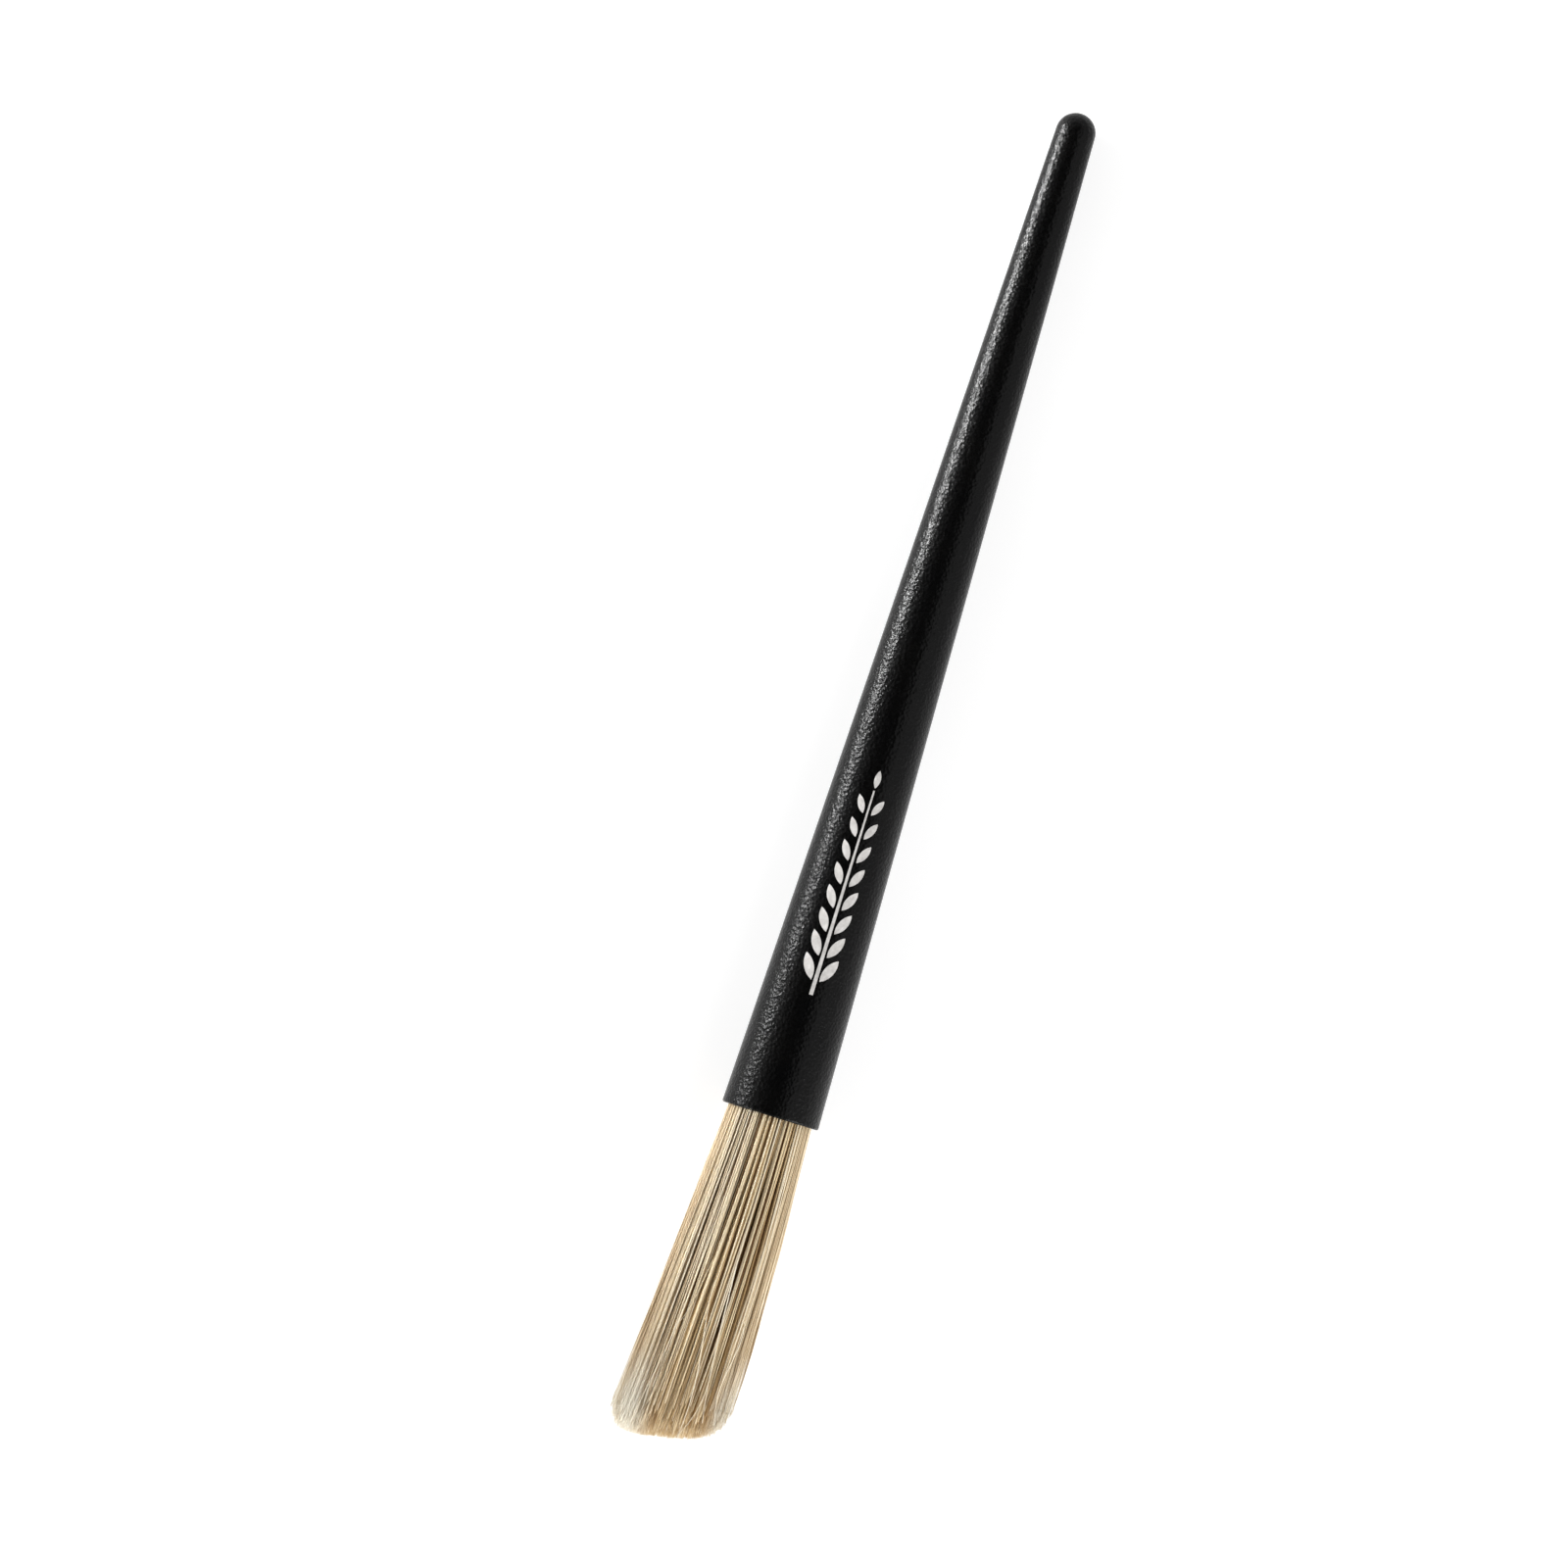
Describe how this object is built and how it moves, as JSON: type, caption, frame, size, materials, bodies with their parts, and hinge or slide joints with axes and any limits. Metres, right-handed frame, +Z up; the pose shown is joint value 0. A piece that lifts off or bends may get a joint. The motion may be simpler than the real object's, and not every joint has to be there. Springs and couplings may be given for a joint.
{
  "type": "round bristle brush",
  "caption": "Slim round brush: tapered black wooden handle with a rounded tip and a long soft tuft of natural bristle set in its thick end, lying on its side.",
  "frame": {"origin": "centre of the bounding box's bottom face, on the surface that the brush lies on", "axes": "+X along the brush, from the tuft towards the handle's tip; +Z up from the surface. The lowest line of the handle's cone lies on z = 0, so the handle's own axis slopes 1.68 degrees down towards its tip"},
  "size_m": [0.2083, 0.0175, 0.0172],
  "materials": {
    "lacquered_wood": "turned hardwood under satin black lacquer with a fine orange-peel grain",
    "bristle": "bleached natural hog bristle, straw to cream, paler split tips",
    "printed_ink": "silver-white pad-printed ink, matt",
    "resin": "cast epoxy, amber",
    "adhesive": "set glue, honey-coloured",
    "thread": "waxed binding thread"
  },
  "bodies": {
    "root": {"handle": "lacquered_wood", "socket_adhesive": "adhesive", "knot_resin": "resin", "binding_thread": "thread", "printed_sprig": "printed_ink", "bristles_core": "bristle", "bristles_inner_1": "bristle", "bristles_inner_2": "bristle", "bristles_inner_3": "bristle", "bristles_inner_4": "bristle", "bristles_inner_5": "bristle", "bristles_inner_6": "bristle", "bristles_middle_01": "bristle", "bristles_middle_02": "bristle", "bristles_middle_03": "bristle", "bristles_middle_04": "bristle", "bristles_middle_05": "bristle", "bristles_middle_06": "bristle", "bristles_middle_07": "bristle", "bristles_middle_08": "bristle", "bristles_middle_09": "bristle", "bristles_middle_10": "bristle", "bristles_middle_11": "bristle", "bristles_middle_12": "bristle", "bristles_outer_01": "bristle", "bristles_outer_02": "bristle", "bristles_outer_03": "bristle", "bristles_outer_04": "bristle", "bristles_outer_05": "bristle", "bristles_outer_06": "bristle", "bristles_outer_07": "bristle", "bristles_outer_08": "bristle", "bristles_outer_09": "bristle", "bristles_outer_10": "bristle", "bristles_outer_11": "bristle", "bristles_outer_12": "bristle", "bristles_outer_13": "bristle", "bristles_outer_14": "bristle", "bristles_outer_15": "bristle", "bristles_outer_16": "bristle", "bristles_outer_17": "bristle", "bristles_outer_18": "bristle"}
  },
  "joints": []
}
